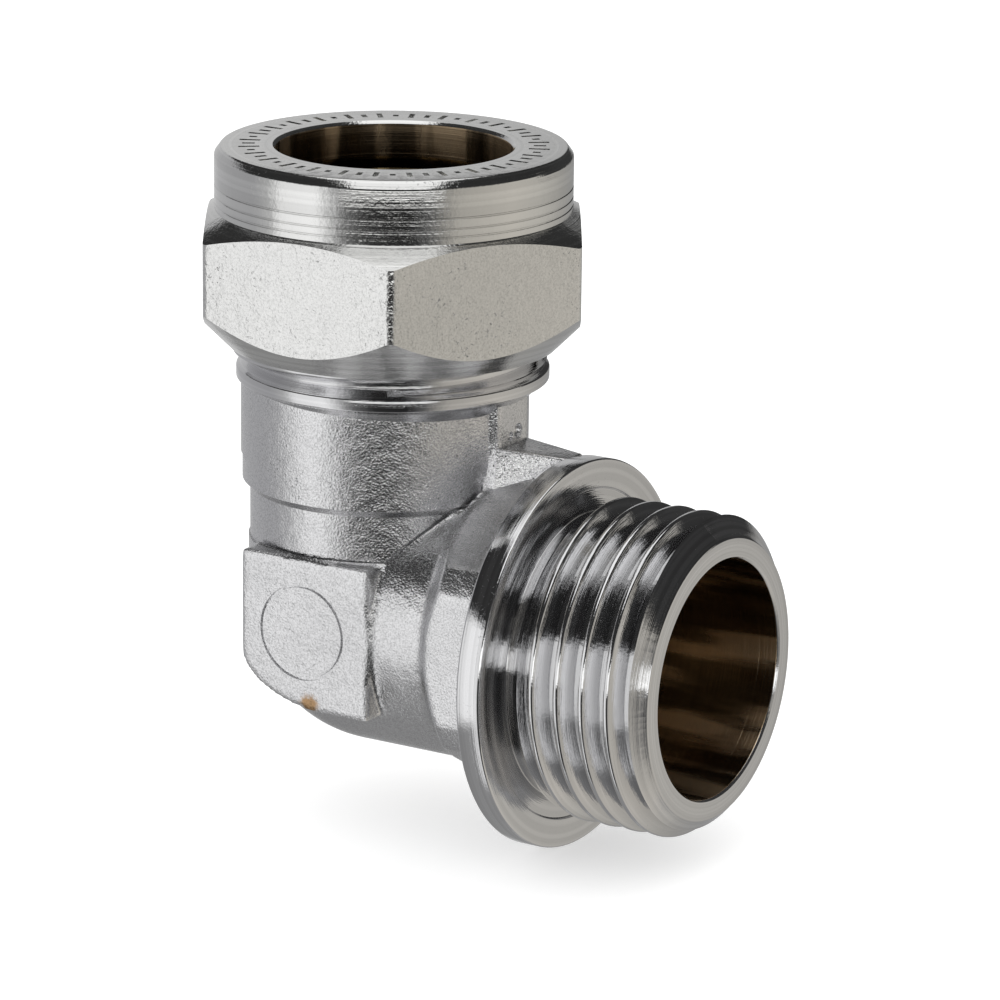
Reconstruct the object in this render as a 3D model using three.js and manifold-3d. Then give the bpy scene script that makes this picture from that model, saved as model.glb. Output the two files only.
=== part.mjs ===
// A 15 mm compression x G 1/2 male elbow, in millimetres, +Z up.
//
// Three loose pieces make the fitting: the forged elbow body, the olive (the soft
// compression ring) that sits on the body's mouth, and the nut that screws down over it.
// The body is drawn about the crossing of its two axes, with +Z up the compression end
// and +X out of the threaded outlet. The finished group stands on the flange's rim.

import * as THREE from 'three';
import { mergeVertices } from 'three/addons/utils/BufferGeometryUtils.js';
import Module from 'manifold-3d';

const wasm = await Module();
wasm.setup();

// ---- Driving dimensions ---------------------------------------------------------------

const TUBE_BORE_RADIUS = 7.6; // slides over a 15 mm tube
const WATERWAY_RADIUS = 6.3;
const WALL_TUCK = 0.3; // how far one solid reaches into another that it is joined to

// Both screw threads are G 1/2: 14 threads per inch, 55 degree flanks.
const PITCH = 1.814;
const FLANK_SLOPE = Math.tan(THREE.MathUtils.degToRad(27.5));
const STEPS_PER_TURN = 36;
const ROUND_SEGMENTS = 36;

// Threaded outlet along +X.
const OUTLET_END_X = 24.76;
const OUTLET_BORE_RADIUS = 7.75;
const OUTLET_BORE_DEPTH = 9.6;
const OUTLET_END_FACE_RADIUS = 9.13;
const OUTLET_LEAD_CHAMFER = 1.35;
const OUTLET_CREST_RADIUS = 10.4775;
const OUTLET_ROOT_RADIUS = 9.32;
const OUTLET_CREST_WIDTH = 0.28;
const OUTLET_THREAD_PHASE_X = 16.335; // a crest crosses +Y here
const OUTLET_UNDERCUT_WIDTH = 0.75;

const FLANGE_RADIUS = 12.71;
const FLANGE_FRONT_X = 14.62;
const FLANGE_THICKNESS = 1.67;
const FLANGE_BACK_X = FLANGE_FRONT_X - FLANGE_THICKNESS;
const SEAL_FACE_INNER_RADIUS = 10.85; // a washer seats outside this, clear of the thread
const SEAL_FACE_STAND = 0.12; // how far the seat stands proud of the relief inside it

// Forged middle: its horizontal arm sits a little above the machined outlet axis.
const FORGING_RISE = 1.05;
const NECK_RADIUS = 9.1;
const COLUMN_SHIFT_X = -0.59; // the forged column stands a little off the machined axis too
const COLUMN_LOWER_RADIUS = 8.88;
const COLUMN_UPPER_RADIUS = 9.38;
const COLUMN_STEP_Z = 9.4;
const CHEEK_Y = 9.3;
const CHEEK_BACK_X = -5.63;
const CHEEK_FRONT_X = 4.17;
const CHEEK_TOP_Z = 6.05;
const CHEEK_BOTTOM_Z = -4.15;
const CHEEK_CORNER = { x: 6.83, z: 3.65 }; // radii of the rounded outer corner
const SPANNER_ACROSS_FLATS = 19.0;
const SPANNER_ROUNDING_RADIUS = 10.45;
const SPANNER_START_X = 8.1;
const WEB_TOP_Z = 13.3;
const WEB_FALL = 0.6; // drop of the web's top from the column to the flange
const SEAM_STRIP_STAND = 0.44; // trimmed parting line, standing proud on both sides of the column
const SEAM_STRIP_HALF_WIDTH = 1.93;

// Compression end up +Z.
const COLLAR_BOTTOM_Z = 16.1;
const COLLAR_RADIUS = 10.17;
const MOUTH_Z = 23.8;
const MOUTH_RADIUS = 8.75;
const MOUTH_CONE_DEPTH = 1.8;
const TUBE_STOP_Z = 11.6;
const MOUTH_CREST_RADIUS = 10.4;
const MOUTH_ROOT_RADIUS = 9.2;
const MOUTH_CREST_WIDTH = 0.25;
const MOUTH_THREAD_START_Z = 17.3; // the ridge's middle where it starts, over +X
const MOUTH_THREAD_TURNS = 4;

// Nut.
const NUT_BOTTOM_Z = 18.8;
const NUT_TOP_Z = 31.66;
const NUT_ACROSS_FLATS = 24.0;
const NUT_TURN = THREE.MathUtils.degToRad(2); // where the hexagon's corners stop
const NUT_FOOT_RADIUS = 10.74;
const NUT_BARREL_RADIUS = 11.56;
const NUT_BARREL_BOTTOM_Z = 27.6;
const NUT_CORNER_TOP_Z = 26.45;
const NUT_RIM_CHAMFER = { r: 0.41, z: 0.55 };
const NUT_MOUTH_CHAMFER = 0.21;
const NUT_SEAT_TOP_Z = 29.3;
const NUT_THREAD_CREST_RADIUS = 9.5;
const NUT_THREAD_ROOT_RADIUS = 10.72;
const NUT_THREAD_ROOT_WIDTH = 0.24;
const NUT_THREAD_TURNS = 5;

// Olive.
const OLIVE_BOTTOM_Z = 23.0;
const OLIVE_TOP_Z = 28.5;
const OLIVE_RADIUS = 8.5;
const OLIVE_END_RADIUS = 7.85;
const OLIVE_TAPER_LENGTH = 1.25;

// ---- Making solids --------------------------------------------------------------------

// A closed three.js geometry as a solid that can be joined and cut.
function toSolid(geometry) {
  const bare = geometry.index ? geometry.toNonIndexed() : geometry.clone();
  bare.deleteAttribute('normal');
  bare.deleteAttribute('uv');
  const merged = mergeVertices(bare, 1e-3);
  const triangles = [];
  for (let i = 0; i < merged.index.count; i += 3) {
    const corners = [0, 1, 2].map((k) => merged.index.getX(i + k));
    if (new Set(corners).size === 3) triangles.push(...corners);
  }
  return new wasm.Manifold(
    new wasm.Mesh({
      numProp: 3,
      vertProperties: new Float32Array(merged.attributes.position.array),
      triVerts: new Uint32Array(triangles),
    }),
  );
}

function toGeometry(solid) {
  const mesh = solid.getMesh();
  const geometry = new THREE.BufferGeometry();
  geometry.setAttribute('position', new THREE.BufferAttribute(mesh.vertProperties, 3));
  geometry.setIndex(new THREE.BufferAttribute(mesh.triVerts, 1));
  geometry.computeVertexNormals();
  return geometry;
}

function join(solids) {
  return solids.reduce((whole, solid) => whole.add(solid));
}

// Turns what was drawn about Z so that it lies about X, keeping a right-hand screw.
const ABOUT_X = new THREE.Matrix4().makeBasis(
  new THREE.Vector3(0, 1, 0),
  new THREE.Vector3(0, 0, 1),
  new THREE.Vector3(1, 0, 0),
);

// A turned solid about Z from [radius, height] points, listed anticlockwise.
function turned(profile) {
  const points = profile.map(([radius, height]) => new THREE.Vector2(radius, height));
  return new THREE.LatheGeometry(points, ROUND_SEGMENTS).rotateX(Math.PI / 2);
}

function rod(radius, bottom, top) {
  return turned([[0, bottom], [radius, bottom], [radius, top], [0, top]]);
}

// A hexagonal bar about Z, with one corner at the given angle from +X.
function hexBar(acrossFlats, bottom, top, cornerAngle) {
  const cornerRadius = acrossFlats / 2 / Math.cos(Math.PI / 6);
  const bar = new THREE.CylinderGeometry(cornerRadius, cornerRadius, top - bottom, 6);
  bar.rotateX(Math.PI / 2).rotateZ(cornerAngle + Math.PI / 2);
  return bar.translate(0, 0, (top + bottom) / 2);
}

// One screw ridge about Z: a blunt V swept up a helix, fading out over its two ends.
function screwRidge({ crestRadius, rootRadius, crestWidth, start, turns }) {
  const innerRadius = rootRadius - WALL_TUCK;
  const fadeSteps = STEPS_PER_TURN / 4;
  const steps = Math.round(turns * STEPS_PER_TURN);
  const positions = [];
  for (let step = 0; step <= steps; step += 1) {
    const angle = (step / STEPS_PER_TURN) * 2 * Math.PI;
    const height = start + (PITCH * step) / STEPS_PER_TURN;
    const fade = Math.min(1, Math.min(step, steps - step) / fadeSteps + 0.04);
    const outer = innerRadius + (crestRadius - innerRadius) * fade;
    const halfCrest = crestWidth / 2;
    const halfRoot = halfCrest + (outer - innerRadius) * FLANK_SLOPE;
    const section = [[innerRadius, -halfRoot], [outer, -halfCrest], [outer, halfCrest], [innerRadius, halfRoot]];
    for (const [radius, rise] of section) {
      positions.push(radius * Math.cos(angle), radius * Math.sin(angle), height + rise);
    }
  }
  const indices = [0, 1, 2, 0, 2, 3];
  for (let step = 0; step < steps; step += 1) {
    for (let side = 0; side < 4; side += 1) {
      const near = step * 4 + side;
      const nearNext = step * 4 + ((side + 1) % 4);
      indices.push(near, near + 4, nearNext, nearNext, near + 4, nearNext + 4);
    }
  }
  const last = steps * 4;
  indices.push(last, last + 2, last + 1, last, last + 3, last + 2);
  const ridge = new THREE.BufferGeometry();
  ridge.setAttribute('position', new THREE.Float32BufferAttribute(positions, 3));
  ridge.setIndex(indices);
  return ridge;
}

// A flat outline in the X-Y plane given a height along Z.
function slab(outline, bottom, top) {
  const points = outline.map(([x, y]) => new THREE.Vector2(x, y));
  const shape = outline.isShape ? outline : new THREE.Shape(points);
  return new THREE.ExtrudeGeometry(shape, { depth: top - bottom, bevelEnabled: false }).translate(0, 0, bottom);
}

// The same, standing upright: the outline is in X-Z and the thickness runs along Y.
function uprightSlab(shape, halfThickness) {
  const plate = new THREE.ExtrudeGeometry(shape, {
    depth: 2 * halfThickness,
    bevelEnabled: false,
    curveSegments: 8,
  });
  return plate.rotateX(Math.PI / 2).translate(0, halfThickness, 0);
}

// ---- Elbow body -----------------------------------------------------------------------

// The upright arm's forged part, with the strips left on it where its flash was trimmed.
function columnSolid() {
  const top = COLLAR_BOTTOM_Z + WALL_TUCK;
  const column = toSolid(turned([
    [0, 0],
    [COLUMN_LOWER_RADIUS, 0],
    [COLUMN_LOWER_RADIUS, COLUMN_STEP_Z - 0.25],
    [COLUMN_UPPER_RADIUS, COLUMN_STEP_Z + 0.25],
    [COLUMN_UPPER_RADIUS, top],
    [0, top],
  ]));
  const strips = new THREE.BoxGeometry(
    2 * (COLUMN_UPPER_RADIUS + SEAM_STRIP_STAND),
    2 * SEAM_STRIP_HALF_WIDTH,
    top - COLUMN_STEP_Z,
  );
  const seam = toSolid(strips.translate(0, 0, (top + COLUMN_STEP_Z) / 2));
  return column.add(seam).translate([COLUMN_SHIFT_X, 0, 0]);
}

// Collar and threaded mouth, turned about the upright axis.
function mouthSolid() {
  return toSolid(turned([
    [0, COLLAR_BOTTOM_Z - 0.6],
    [COLLAR_RADIUS - 1, COLLAR_BOTTOM_Z - 0.6],
    [COLLAR_RADIUS, COLLAR_BOTTOM_Z + 0.4],
    [COLLAR_RADIUS, COLLAR_BOTTOM_Z + 1.15],
    [MOUTH_ROOT_RADIUS, COLLAR_BOTTOM_Z + 1.65],
    [MOUTH_ROOT_RADIUS, MOUTH_Z],
    [0, MOUTH_Z],
  ]));
}

// The screw ridge on the mouth, trimmed to the mouth's face and its lead chamfer.
function mouthThreadSolid() {
  const ridge = toSolid(screwRidge({
    crestRadius: MOUTH_CREST_RADIUS,
    rootRadius: MOUTH_ROOT_RADIUS,
    crestWidth: MOUTH_CREST_WIDTH,
    start: MOUTH_THREAD_START_Z,
    turns: MOUTH_THREAD_TURNS,
  }));
  const lead = MOUTH_CREST_RADIUS - MOUTH_ROOT_RADIUS;
  const room = turned([
    [0, COLLAR_BOTTOM_Z],
    [MOUTH_CREST_RADIUS + 1, COLLAR_BOTTOM_Z],
    [MOUTH_CREST_RADIUS + 1, MOUTH_Z - lead - 1],
    [MOUTH_ROOT_RADIUS, MOUTH_Z],
    [0, MOUTH_Z],
  ]);
  return ridge.intersect(toSolid(room));
}

// The rounded lump at the bend, with a flat cheek on each side.
function bendSolid() {
  const ball = new THREE.SphereGeometry(NECK_RADIUS, 24, 16).translate(0, 0, FORGING_RISE);
  const outline = new THREE.Shape();
  outline.moveTo(CHEEK_BACK_X, CHEEK_TOP_Z);
  outline.lineTo(CHEEK_BACK_X, CHEEK_BOTTOM_Z + CHEEK_CORNER.z);
  outline.absellipse(
    CHEEK_BACK_X + CHEEK_CORNER.x,
    CHEEK_BOTTOM_Z + CHEEK_CORNER.z,
    CHEEK_CORNER.x,
    CHEEK_CORNER.z,
    Math.PI,
    1.5 * Math.PI,
    false,
  );
  outline.lineTo(CHEEK_FRONT_X, CHEEK_BOTTOM_Z);
  outline.lineTo(CHEEK_FRONT_X, CHEEK_TOP_Z);
  return toSolid(ball).add(toSolid(uprightSlab(outline, CHEEK_Y)));
}

// The horizontal arm: round neck, hexagon for a spanner, and the web above them.
function armSolid() {
  const neck = rod(NECK_RADIUS, 0, FLANGE_BACK_X + WALL_TUCK).applyMatrix4(ABOUT_X);
  const bar = hexBar(SPANNER_ACROSS_FLATS, SPANNER_START_X, FLANGE_BACK_X + WALL_TUCK, Math.PI / 2);
  const lead = SPANNER_ROUNDING_RADIUS - NECK_RADIUS;
  const rounding = turned([
    [0, SPANNER_START_X],
    [NECK_RADIUS, SPANNER_START_X],
    [SPANNER_ROUNDING_RADIUS, SPANNER_START_X + lead],
    [SPANNER_ROUNDING_RADIUS, FLANGE_BACK_X + WALL_TUCK],
    [0, FLANGE_BACK_X + WALL_TUCK],
  ]);
  const hexagon = toSolid(bar.applyMatrix4(ABOUT_X)).intersect(toSolid(rounding.applyMatrix4(ABOUT_X)));
  return toSolid(neck).add(hexagon).translate([0, 0, FORGING_RISE]).add(webSolid());
}

// The web in the inner corner, wide on the column and narrow where it meets the flange.
function webSolid() {
  const plan = [[8, -2.0], [9.23, -2.0], [13.2, 0.2], [13.2, 1.93], [8, 1.93]];
  const side = new THREE.Shape([
    new THREE.Vector2(8, FORGING_RISE),
    new THREE.Vector2(13.2, FORGING_RISE),
    new THREE.Vector2(13.2, WEB_TOP_Z - WEB_FALL),
    new THREE.Vector2(9.4, WEB_TOP_Z),
    new THREE.Vector2(8, WEB_TOP_Z),
  ]);
  return toSolid(slab(plan, FORGING_RISE, WEB_TOP_Z)).intersect(toSolid(uprightSlab(side, 3)));
}

// Flange, undercut and threaded outlet, with the lead chamfer cut on the ridge too.
function outletSolid() {
  const chamferStart = OUTLET_END_X - OUTLET_LEAD_CHAMFER;
  const undercutEnd = FLANGE_FRONT_X + OUTLET_UNDERCUT_WIDTH;
  const core = toSolid(turned([
    [0, FLANGE_BACK_X],
    [FLANGE_RADIUS, FLANGE_BACK_X],
    [FLANGE_RADIUS, FLANGE_FRONT_X],
    [SEAL_FACE_INNER_RADIUS, FLANGE_FRONT_X],
    [SEAL_FACE_INNER_RADIUS - SEAL_FACE_STAND, FLANGE_FRONT_X - SEAL_FACE_STAND],
    [OUTLET_ROOT_RADIUS, FLANGE_FRONT_X - SEAL_FACE_STAND],
    [OUTLET_ROOT_RADIUS, OUTLET_END_X - 0.2],
    [OUTLET_END_FACE_RADIUS, OUTLET_END_X],
    [0, OUTLET_END_X],
  ]));
  const turnsBack = Math.ceil((OUTLET_THREAD_PHASE_X - undercutEnd) / PITCH);
  const start = OUTLET_THREAD_PHASE_X - turnsBack * PITCH;
  const ridge = toSolid(screwRidge({
    crestRadius: OUTLET_CREST_RADIUS,
    rootRadius: OUTLET_ROOT_RADIUS,
    crestWidth: OUTLET_CREST_WIDTH,
    start,
    turns: Math.ceil((OUTLET_END_X - start) / PITCH) + 1,
  }));
  const room = toSolid(turned([
    [0, undercutEnd - 0.2],
    [OUTLET_ROOT_RADIUS, undercutEnd - 0.2],
    [OUTLET_CREST_RADIUS + 0.2, undercutEnd + 1.1],
    [OUTLET_CREST_RADIUS + 0.2, chamferStart],
    [OUTLET_END_FACE_RADIUS, OUTLET_END_X],
    [0, OUTLET_END_X],
  ]));
  const solid = core.add(ridge.intersect(room));
  return toSolid(toGeometry(solid).applyMatrix4(ABOUT_X));
}

// Everything hollow: tube socket down to its stop, then the waterway round the bend.
function waterwaySolid() {
  const socket = turned([
    [0, -3.5],
    [WATERWAY_RADIUS, 0],
    [WATERWAY_RADIUS, TUBE_STOP_Z],
    [TUBE_BORE_RADIUS, TUBE_STOP_Z],
    [TUBE_BORE_RADIUS, MOUTH_Z - MOUTH_CONE_DEPTH],
    [MOUTH_RADIUS, MOUTH_Z],
    [MOUTH_RADIUS, MOUTH_Z + 1],
    [0, MOUTH_Z + 1],
  ]);
  const boreStart = OUTLET_END_X - OUTLET_BORE_DEPTH;
  const outlet = turned([
    [0, -3.5],
    [WATERWAY_RADIUS, 0],
    [WATERWAY_RADIUS, boreStart - 1.5],
    [OUTLET_BORE_RADIUS, boreStart],
    [OUTLET_BORE_RADIUS, OUTLET_END_X + 1],
    [0, OUTLET_END_X + 1],
  ]);
  return toSolid(socket).add(toSolid(outlet.applyMatrix4(ABOUT_X)));
}

function elbowBodyGeometry() {
  const outside = join([
    columnSolid(),
    mouthSolid(),
    mouthThreadSolid(),
    bendSolid(),
    armSolid(),
    outletSolid(),
  ]);
  return toGeometry(outside.subtract(waterwaySolid()));
}

// ---- Nut ------------------------------------------------------------------------------

function nutGeometry() {
  const cornerRadius = NUT_ACROSS_FLATS / 2 / Math.cos(Math.PI / 6);
  const footChamfer = cornerRadius - NUT_FOOT_RADIUS;
  const seatDepth = NUT_THREAD_CREST_RADIUS - TUBE_BORE_RADIUS;
  const shell = turned([
    [NUT_THREAD_CREST_RADIUS + 0.6, NUT_BOTTOM_Z],
    [NUT_FOOT_RADIUS, NUT_BOTTOM_Z],
    [cornerRadius, NUT_BOTTOM_Z + footChamfer],
    [cornerRadius, NUT_CORNER_TOP_Z],
    [NUT_BARREL_RADIUS, NUT_BARREL_BOTTOM_Z],
    [NUT_BARREL_RADIUS, NUT_TOP_Z - NUT_RIM_CHAMFER.z],
    [NUT_BARREL_RADIUS - NUT_RIM_CHAMFER.r, NUT_TOP_Z],
    [TUBE_BORE_RADIUS + NUT_MOUTH_CHAMFER, NUT_TOP_Z],
    [TUBE_BORE_RADIUS, NUT_TOP_Z - NUT_MOUTH_CHAMFER],
    [TUBE_BORE_RADIUS, NUT_SEAT_TOP_Z],
    [NUT_THREAD_CREST_RADIUS, NUT_SEAT_TOP_Z - seatDepth],
    [NUT_THREAD_CREST_RADIUS, NUT_BOTTOM_Z + 0.6],
    [NUT_THREAD_CREST_RADIUS + 0.6, NUT_BOTTOM_Z],
  ]);
  const bar = hexBar(NUT_ACROSS_FLATS, NUT_BOTTOM_Z - 1, NUT_TOP_Z + 1, NUT_TURN);
  const tap = screwRidge({
    crestRadius: NUT_THREAD_ROOT_RADIUS,
    rootRadius: NUT_THREAD_CREST_RADIUS,
    crestWidth: NUT_THREAD_ROOT_WIDTH,
    start: MOUTH_THREAD_START_Z,
    turns: NUT_THREAD_TURNS,
  });
  return toGeometry(toSolid(shell).intersect(toSolid(bar)).subtract(toSolid(tap)));
}

// ---- Olive ----------------------------------------------------------------------------

function oliveGeometry() {
  return turned([
    [TUBE_BORE_RADIUS, OLIVE_BOTTOM_Z],
    [OLIVE_END_RADIUS, OLIVE_BOTTOM_Z],
    [OLIVE_RADIUS, OLIVE_BOTTOM_Z + OLIVE_TAPER_LENGTH],
    [OLIVE_RADIUS, OLIVE_TOP_Z - OLIVE_TAPER_LENGTH],
    [OLIVE_END_RADIUS, OLIVE_TOP_Z],
    [TUBE_BORE_RADIUS, OLIVE_TOP_Z],
    [TUBE_BORE_RADIUS, OLIVE_BOTTOM_Z],
  ]);
}

// ---- Assembly -------------------------------------------------------------------------

function piece(name, geometry, color, roughness) {
  const material = new THREE.MeshStandardMaterial({ color, roughness, metalness: 1 });
  const mesh = new THREE.Mesh(geometry, material);
  mesh.name = name;
  return mesh;
}

const nutCornerRadius = NUT_ACROSS_FLATS / 2 / Math.cos(Math.PI / 6);
const centreX = (OUTLET_END_X - nutCornerRadius * Math.cos(NUT_TURN)) / 2;

const fitting = new THREE.Group();
fitting.add(
  piece('elbow_body', elbowBodyGeometry(), 0xc9cbcd, 0.25),
  piece('olive', oliveGeometry(), 0xc8a45c, 0.35),
  piece('compression_nut', nutGeometry(), 0xd2d2d0, 0.2),
);
fitting.position.set(-centreX, 0, FLANGE_RADIUS);

export default fitting;
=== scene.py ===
"""Compression elbow fitting: the finished looks of its body, olive and nut, and the stage.

The shapes are drawn in millimetres about the crossing of the fitting's two axes, with +Z up the
compression end and +X out of the threaded outlet, and then set in the frame in metres.
"""

import math

import bmesh
import bpy
from bpy.props import FloatProperty, FloatVectorProperty, IntProperty, PointerProperty
from bpy.types import Operator, Panel, PropertyGroup
from mathutils import Matrix, Vector


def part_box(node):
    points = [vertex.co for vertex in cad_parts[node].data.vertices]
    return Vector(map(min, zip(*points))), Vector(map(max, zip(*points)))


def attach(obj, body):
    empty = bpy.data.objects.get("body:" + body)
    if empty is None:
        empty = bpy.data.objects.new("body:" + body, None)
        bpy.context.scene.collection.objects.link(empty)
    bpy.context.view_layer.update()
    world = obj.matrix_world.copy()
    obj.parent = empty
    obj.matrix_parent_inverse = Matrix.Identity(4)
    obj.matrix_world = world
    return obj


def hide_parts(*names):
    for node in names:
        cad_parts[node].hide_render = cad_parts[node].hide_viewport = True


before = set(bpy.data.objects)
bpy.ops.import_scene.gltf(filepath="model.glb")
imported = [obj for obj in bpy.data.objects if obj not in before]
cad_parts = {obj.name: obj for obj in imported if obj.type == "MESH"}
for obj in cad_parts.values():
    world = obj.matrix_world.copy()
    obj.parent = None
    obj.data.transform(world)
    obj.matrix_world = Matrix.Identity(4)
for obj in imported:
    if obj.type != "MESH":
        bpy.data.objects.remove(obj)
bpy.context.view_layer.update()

bl_info = {
    "name": "Compression elbow fitting",
    "version": (1, 0, 0),
    "blender": (4, 5, 0),
    "location": "3D View > Sidebar > Fitting",
    "description": "Builds a plated brass compression elbow with its olive, nut and stage",
    "category": "Add Mesh",
}

MM = 0.001
BODY_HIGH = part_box("elbow_body")[1] / MM
NUT_LOW, NUT_HIGH = (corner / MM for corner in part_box("compression_nut"))
OLIVE_LOW, OLIVE_HIGH = (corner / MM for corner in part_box("olive"))

# Where the two axes cross, in the frame.
AXIS_X = (NUT_LOW.x + NUT_HIGH.x) / 2
OUTLET_AXIS_Z = BODY_HIGH.y
AXES_CROSSING = Vector((AXIS_X, 0, OUTLET_AXIS_Z))

# Screw threads: G 1/2, 14 threads per inch, 55 degree flanks.
PITCH = 1.814
FLANK_SLOPE = math.tan(math.radians(27.5))
TURNING_STEPS = 144
ROUNDING_STEPS = 3
TUCK = 0.3  # how far a shape reaches into the one that it joins

# Outlet and flange, along +X.
OUTLET_END_X = BODY_HIGH.x - AXIS_X
FLANGE_RADIUS = OUTLET_AXIS_Z
FLANGE_FRONT_X = OUTLET_END_X - 10.14
FLANGE_BACK_X = FLANGE_FRONT_X - 1.67
SEAL_FACE_INNER_RADIUS = 10.85
SEAL_FACE_STAND = 0.12
FLANGE_EDGE_ROUNDING = 0.14
OUTLET_CREST_RADIUS = 10.4775
OUTLET_ROOT_RADIUS = 9.32
OUTLET_CREST_WIDTH = 0.28
OUTLET_CREST_X = FLANGE_FRONT_X + 1.485  # a crest crosses +Y here
OUTLET_UNDERCUT_END_X = FLANGE_FRONT_X + 0.75
OUTLET_LEAD_CHAMFER = 1.35
OUTLET_END_FACE_RADIUS = 9.13
OUTLET_END_CHAMFER = 0.25
OUTLET_CREST_ROUNDING = 0.1
OUTLET_BORE_RADIUS = 7.75
OUTLET_BORE_DEPTH = 9.6
OUTLET_MOUTH_CHAMFER = 0.15

# Forged middle.
FORGING_RISE = 1.05
NECK_RADIUS = 9.1
COLUMN_SHIFT_X = -0.59
COLUMN_LOWER_RADIUS = 8.88
COLUMN_UPPER_RADIUS = 9.38
COLUMN_STEP_Z = 9.4
COLUMN_STEP_HALF_HEIGHT = 0.2
SEAM_STRIP_STAND = 0.44
SEAM_STRIP_HALF_WIDTH = 1.93
SEAM_STRIP_X = COLUMN_SHIFT_X + COLUMN_UPPER_RADIUS + SEAM_STRIP_STAND
CHEEK_Y = 9.3
CHEEK_BACK_X = -5.63
CHEEK_FRONT_X = 4.17
CHEEK_TOP_Z = 6.05
CHEEK_BOTTOM_Z = -4.15
CHEEK_CORNER_LENGTH = 6.83
CHEEK_CORNER_HEIGHT = 3.65
CHEEK_MARK_X = -0.9
CHEEK_MARK_Z = 1.1
CHEEK_MARK_RADIUS = 3.1
CHEEK_MARK_DEPTH = 0.17
CHEEK_MARK_HALF_FLOOR = 0.07
CHEEK_MARK_HALF_WIDTH = 0.19  # at the level of the cutter's top, 1 mm out
WORN_SPOT = (-0.3, -CHEEK_Y, -3.6)
SPANNER_ACROSS_FLATS = 19.0
SPANNER_ROUNDING_RADIUS = 10.45
SPANNER_START_X = 8.1
CREASE_DEPTH = 0.3
CREASE_HALF_WIDTH = 0.12
WEB_TOP_Z = 13.3
WEB_FALL = 0.6
WEB_EDGE_ROUNDING = 0.14
WEB_TIP_NEAR_Y = 0.2
WEB_LEAN = math.tan(math.radians(8.5))  # how much the web spreads out downwards
FLASH_POCKETS = ((0.5, 0.55, 0.62), (0.34, -0.35, 0.4))  # radius, Y and height over the web

# Compression mouth, up +Z.
COLLAR_BOTTOM_Z = 16.1
COLLAR_RADIUS = 10.17
COLLAR_PROFILE = (
    # Radius, height over the collar's bottom, rounding.
    (8.4, -1.1, 0),
    (9.7, 0.2, 0.1),
    (COLLAR_RADIUS, 0.42, 0.05),
    (COLLAR_RADIUS, 1.15, 0.08),
)
COLLAR_TOP_Z = COLLAR_BOTTOM_Z + 1.65
MOUTH_Z = 23.8
MOUTH_RADIUS = 8.75
MOUTH_CONE_DEPTH = 1.8
MOUTH_CREST_RADIUS = 10.4
MOUTH_ROOT_RADIUS = 9.2
MOUTH_CREST_WIDTH = 0.25
MOUTH_CREST_ROUNDING = 0.08
MOUTH_THREAD_START_Z = 17.3
MOUTH_THREAD_TURNS = 4
TUBE_STOP_Z = 11.6
TUBE_BORE_RADIUS = 7.6
WATERWAY_RADIUS = 6.3
DRILL_POINT = 3.5  # how far a drilled hole runs past the crossing

# Nut.
NUT_BOTTOM_Z = NUT_LOW.z - OUTLET_AXIS_Z
NUT_TOP_Z = NUT_HIGH.z - OUTLET_AXIS_Z
NUT_ACROSS_FLATS = 24.0
NUT_TURN = math.radians(2)
NUT_CORNER_RADIUS = NUT_ACROSS_FLATS / 2 / math.cos(math.pi / 6)
NUT_FOOT_RADIUS = 10.74
NUT_BARREL_RADIUS = 11.56
NUT_BARREL_BOTTOM_Z = 27.6
NUT_CORNER_TOP_Z = 26.45
NUT_RIM_CHAMFER_WIDTH = 0.41
NUT_RIM_CHAMFER_HEIGHT = 0.55
NUT_MOUTH_CHAMFER = 0.21
NUT_LINES = (0.42, 0.95, 1.62)  # heights of the turned lines over the barrel's bottom
NUT_LINE_DEPTH = 0.06
NUT_LINE_HALF_WIDTH = 0.07
NUT_SEAT_TOP_Z = 29.3
NUT_THREAD_CREST_RADIUS = 9.5
NUT_THREAD_ROOT_RADIUS = 10.72
NUT_THREAD_ROOT_WIDTH = 0.24
NUT_THREAD_TURNS = 5
DASH_COUNT = 56
DASH_LENGTHS = (1.35, 0.8, 1.35, 0.5)
DASH_WIDTH = 0.36
DASH_DEPTH = 0.2
DASH_RING_RADIUS = 9.35

# Olive.
OLIVE_BOTTOM_Z = OLIVE_LOW.z - OUTLET_AXIS_Z
OLIVE_TOP_Z = OLIVE_HIGH.z - OUTLET_AXIS_Z
OLIVE_RADIUS = OLIVE_HIGH.y
OLIVE_END_RADIUS = 7.85
OLIVE_TAPER_LENGTH = 1.25

SHARP_ANGLE = math.radians(30)

# Which of a piece's materials a face takes.
FORGED, TURNED_ACROSS, TURNED_UP, BORE_ACROSS, BORE_UP = range(5)
BAR, TURNED, BORE = range(3)


# ---- Settings ------------------------------------------------------------------------------


class FittingBodySettings(PropertyGroup):
    """Sizes and colours of the elbow body."""

    skin_grid: FloatProperty(
        name="Skin grid",
        description="Spacing of the forged skin's mesh, which also sets how soft its edges are",
        default=0.21 * MM,
        min=0.15 * MM,
        max=0.6 * MM,
        precision=5,
        subtype="DISTANCE",
        unit="LENGTH",
    )
    skin_softness: IntProperty(
        name="Skin softness",
        description="Smoothing passes that round the forging's edges and inner corners",
        default=3,
        min=0,
        max=12,
    )
    plating: FloatVectorProperty(
        name="Plating",
        description="Colour of the chrome plating",
        subtype="COLOR",
        default=(0.80, 0.80, 0.81),
        min=0,
        max=1,
    )
    bare_brass: FloatVectorProperty(
        name="Bare brass",
        description="Colour of the unplated brass deep in the bores",
        subtype="COLOR",
        default=(0.78, 0.60, 0.40),
        min=0,
        max=1,
    )


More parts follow.
